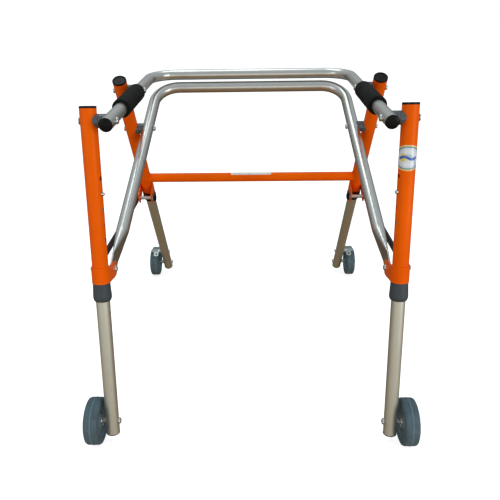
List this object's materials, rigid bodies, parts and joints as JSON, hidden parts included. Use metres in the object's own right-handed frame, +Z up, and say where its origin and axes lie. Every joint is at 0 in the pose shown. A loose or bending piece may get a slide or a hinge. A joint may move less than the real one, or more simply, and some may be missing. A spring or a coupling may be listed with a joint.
{
  "type": "reverse wheeled walker",
  "caption": "Folding reverse walker: bent-tube handle with foam grips, painted posts, height-adjustable legs on wheels, hook bars and roll-back stops.",
  "frame": {"origin": "floor level, centre of the overall footprint at the rest height", "axes": "+Z up, +X to the right, -Y towards the open front where the user steps in"},
  "size_m": [0.716, 0.9034, 0.7166],
  "materials": {
    "orange_paint": "glossy powder coat",
    "bright_tube": "polished, anodised",
    "satin_leg": "satin anodised",
    "foam": "closed-cell foam, dull",
    "black_plastic": "fine spark texture",
    "grey_plastic": "moulded",
    "collar_plastic": "moulded, slightly worn",
    "zinc_steel": "bright zinc plate",
    "black_bar": "black powder coat",
    "tyre_rubber": "solid grey rubber",
    "hub_plastic": "moulded",
    "bright_plate": "plated sheet steel",
    "button_metal": "polished"
  },
  "bodies": {
    "handle": {"handle_tube": "bright_tube", "handle_end_plugs": "black_plastic", "grip_left": "foam", "grip_right": "foam", "handle_saddles": "grey_plastic", "handle_pivot_bolts": "zinc_steel"},
    "front_post_left": {"front_post_left": "orange_paint", "front_post_cap_left": "black_plastic", "front_strap_left": "orange_paint", "front_collar_left": "collar_plastic", "front_saddle_left": "grey_plastic", "lower_pivot_bolt_left": "zinc_steel"},
    "front_leg_left": {"front_leg_left": "satin_leg", "front_leg_plug_left": "black_plastic", "front_axle_left": "zinc_steel"},
    "front_wheel_left": {"front_wheel_tyre_left": "tyre_rubber", "front_wheel_hub_left": "hub_plastic", "front_wheel_bearings_left": "zinc_steel"},
    "front_snap_button_left": {"front_snap_button_left": "button_metal"},
    "hook_bar_left": {"hook_bar_left": "black_bar"},
    "rear_leg_left": {"rear_leg_left": "satin_leg", "rear_leg_plug_left": "black_plastic", "rear_axle_left": "zinc_steel"},
    "rear_wheel_left": {"rear_wheel_tyre_left": "tyre_rubber", "rear_wheel_hub_left": "hub_plastic"},
    "rear_snap_button_left": {"rear_snap_button_left": "button_metal"},
    "roll_back_pawl_left": {"roll_back_pawl_left": "bright_plate"},
    "front_post_right": {"front_post_right": "orange_paint", "front_post_cap_right": "black_plastic", "front_strap_right": "orange_paint", "front_collar_right": "collar_plastic", "front_saddle_right": "grey_plastic", "lower_pivot_bolt_right": "zinc_steel"},
    "front_leg_right": {"front_leg_right": "satin_leg", "front_leg_plug_right": "black_plastic", "front_axle_right": "zinc_steel"},
    "front_wheel_right": {"front_wheel_tyre_right": "tyre_rubber", "front_wheel_hub_right": "hub_plastic", "front_wheel_bearings_right": "zinc_steel"},
    "front_snap_button_right": {"front_snap_button_right": "button_metal"},
    "hook_bar_right": {"hook_bar_right": "black_bar"},
    "rear_leg_right": {"rear_leg_right": "satin_leg", "rear_leg_plug_right": "black_plastic", "rear_axle_right": "zinc_steel"},
    "rear_wheel_right": {"rear_wheel_tyre_right": "tyre_rubber", "rear_wheel_hub_right": "hub_plastic"},
    "rear_snap_button_right": {"rear_snap_button_right": "button_metal"},
    "roll_back_pawl_right": {"roll_back_pawl_right": "bright_plate"},
    "rear_frame": {"rear_post_left": "orange_paint", "rear_post_right": "orange_paint", "rear_cross_tube": "orange_paint", "rear_post_caps": "black_plastic", "rear_straps": "orange_paint", "rear_collars": "black_plastic", "rear_saddles": "grey_plastic", "hook_pins": "zinc_steel", "hook_pin_knobs": "black_plastic"},
    "lower_frame": {"lower_tube": "bright_tube", "lower_saddles": "grey_plastic", "lower_frame_bolts": "zinc_steel"}
  },
  "joints": [
    {"name": "fold", "type": "hinge", "parent": "handle", "child": "rear_frame", "pos_m": [0, -0.01415, 0.68274], "axis": [-1, 0, 0], "range_deg": [0, 70]},
    {"name": "lower_frame_pivot", "type": "hinge", "parent": "rear_frame", "child": "lower_frame", "pos_m": [0, 0.05273, 0.5813], "axis": [-1, 0, 0], "range_deg": [-61, 0]},
    {"name": "front_post_pivot_left", "type": "hinge", "parent": "handle", "child": "front_post_left", "pos_m": [-0.296, -0.29855, 0.66643], "axis": [-1, 0, 0], "range_deg": [0, 34.6]},
    {"name": "hook_bar_pivot_left", "type": "hinge", "parent": "front_post_left", "child": "hook_bar_left", "pos_m": [-0.31645, -0.30532, 0.36542], "axis": [1, 0, 0], "range_deg": [0, 49.2]},
    {"name": "front_leg_slide_left", "type": "slide", "parent": "front_post_left", "child": "front_leg_left", "axis": [0, -0.165, -0.9863], "range_m": [-0.03, 0.09]},
    {"name": "front_wheel_spin_left", "type": "hinge", "parent": "front_leg_left", "child": "front_wheel_left", "pos_m": [-0.3315, -0.4017, 0.05], "axis": [1, 0, 0], "continuous": true},
    {"name": "front_button_press_left", "type": "slide", "parent": "front_post_left", "child": "front_snap_button_left", "axis": [-0.9781, 0.2051, -0.0343], "range_m": [0, 0.0045], "stiffness_N_per_m": 600, "springref_m": -0.004},
    {"name": "rear_leg_slide_left", "type": "slide", "parent": "rear_frame", "child": "rear_leg_left", "axis": [0, 0.5505, -0.8348], "range_m": [-0.03, 0.09]},
    {"name": "rear_wheel_spin_left", "type": "hinge", "parent": "rear_leg_left", "child": "rear_wheel_left", "pos_m": [-0.336, 0.4057, 0.046], "axis": [1, 0, 0], "continuous": true},
    {"name": "rear_button_press_left", "type": "slide", "parent": "rear_frame", "child": "rear_snap_button_left", "axis": [-0.9781, 0.1736, 0.1145], "range_m": [0, 0.0045], "stiffness_N_per_m": 600, "springref_m": -0.004},
    {"name": "roll_back_pawl_tilt_left", "type": "hinge", "parent": "rear_leg_left", "child": "roll_back_pawl_left", "pos_m": [-0.313, 0.36926, 0.10127], "axis": [1, 0, 0], "range_deg": [0, 10]},
    {"name": "front_post_pivot_right", "type": "hinge", "parent": "handle", "child": "front_post_right", "pos_m": [0.296, -0.29855, 0.66643], "axis": [-1, 0, 0], "range_deg": [0, 34.6]},
    {"name": "hook_bar_pivot_right", "type": "hinge", "parent": "front_post_right", "child": "hook_bar_right", "pos_m": [0.31645, -0.30532, 0.36542], "axis": [1, 0, 0], "range_deg": [0, 49.2]},
    {"name": "front_leg_slide_right", "type": "slide", "parent": "front_post_right", "child": "front_leg_right", "axis": [0, -0.165, -0.9863], "range_m": [-0.03, 0.09]},
    {"name": "front_wheel_spin_right", "type": "hinge", "parent": "front_leg_right", "child": "front_wheel_right", "pos_m": [0.3315, -0.4017, 0.05], "axis": [1, 0, 0], "continuous": true},
    {"name": "front_button_press_right", "type": "slide", "parent": "front_post_right", "child": "front_snap_button_right", "axis": [0.9781, 0.2051, -0.0343], "range_m": [0, 0.0045], "stiffness_N_per_m": 600, "springref_m": -0.004},
    {"name": "rear_leg_slide_right", "type": "slide", "parent": "rear_frame", "child": "rear_leg_right", "axis": [0, 0.5505, -0.8348], "range_m": [-0.03, 0.09]},
    {"name": "rear_wheel_spin_right", "type": "hinge", "parent": "rear_leg_right", "child": "rear_wheel_right", "pos_m": [0.336, 0.4057, 0.046], "axis": [1, 0, 0], "continuous": true},
    {"name": "rear_button_press_right", "type": "slide", "parent": "rear_frame", "child": "rear_snap_button_right", "axis": [0.9781, 0.1736, 0.1145], "range_m": [0, 0.0045], "stiffness_N_per_m": 600, "springref_m": -0.004},
    {"name": "roll_back_pawl_tilt_right", "type": "hinge", "parent": "rear_leg_right", "child": "roll_back_pawl_right", "pos_m": [0.313, 0.36926, 0.10127], "axis": [1, 0, 0], "range_deg": [0, 10]}
  ],
  "couplings": [
    {"joint": "lower_frame_pivot", "follows": "fold", "ratio": -0.869},
    {"joint": "front_post_pivot_left", "follows": "fold", "ratio": 0.492},
    {"joint": "hook_bar_pivot_left", "follows": "fold", "ratio": 0.7},
    {"joint": "front_post_pivot_right", "follows": "fold", "ratio": 0.492},
    {"joint": "hook_bar_pivot_right", "follows": "fold", "ratio": 0.7}
  ]
}
